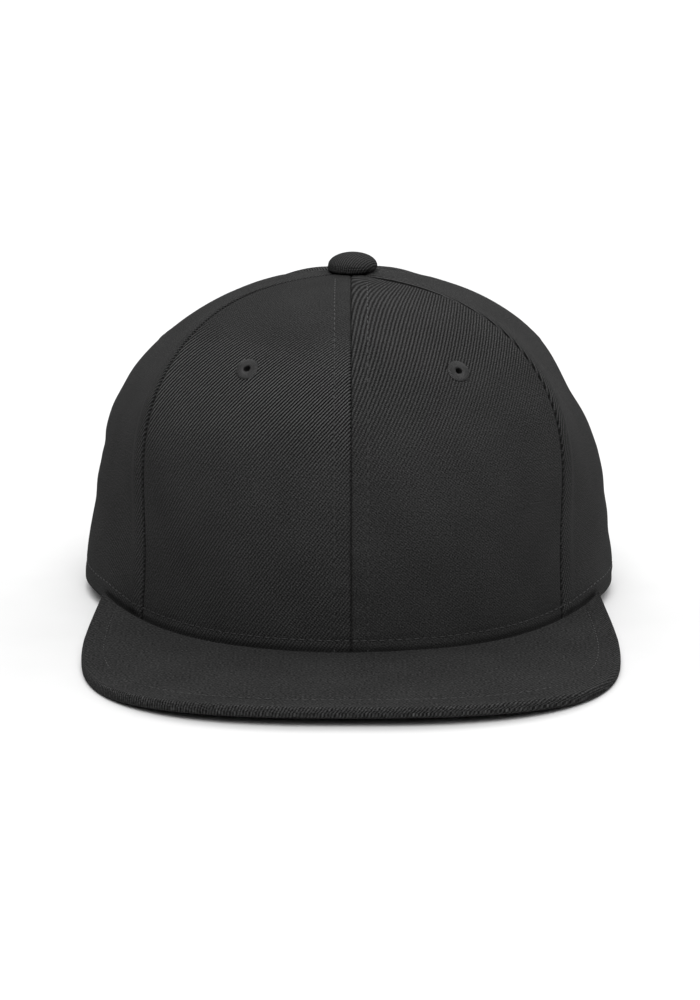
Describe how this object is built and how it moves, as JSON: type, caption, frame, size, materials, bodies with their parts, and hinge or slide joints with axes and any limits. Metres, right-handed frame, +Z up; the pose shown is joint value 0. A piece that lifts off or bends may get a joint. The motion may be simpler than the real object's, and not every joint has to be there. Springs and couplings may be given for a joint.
{
  "type": "snapback cap",
  "caption": "Flat-brimmed cap with a stiff panelled crown, covered top button, stitched vent eyelets, rear half-moon opening and a plastic snap strap.",
  "frame": {"origin": "middle of the head opening, on the plane that the cap rests on", "axes": "+Z up through the button, the brim points to -Y, +X to the right as seen from the front"},
  "size_m": [0.1908, 0.2589, 0.1239],
  "materials": {
    "twill": "black cotton twill",
    "brim_twill": "black cotton twill over a stiff board",
    "thread": "black embroidery thread, slightly shiny",
    "band_cloth": "black cotton band",
    "strap_plastic": "black moulded polyethylene"
  },
  "bodies": {
    "root": {"panel_front_left": "twill", "panel_front_right": "twill", "panel_side_left": "twill", "panel_side_right": "twill", "panel_rear_left": "twill", "panel_rear_right": "twill", "brim": "brim_twill", "top_button": "twill", "eyelet_front_left": "thread", "eyelet_front_right": "thread", "eyelet_side_left": "thread", "eyelet_side_right": "thread", "eyelet_rear_left": "thread", "eyelet_rear_right": "thread", "sweatband": "band_cloth", "strap_holes": "strap_plastic", "strap_pegs": "strap_plastic"}
  },
  "joints": []
}
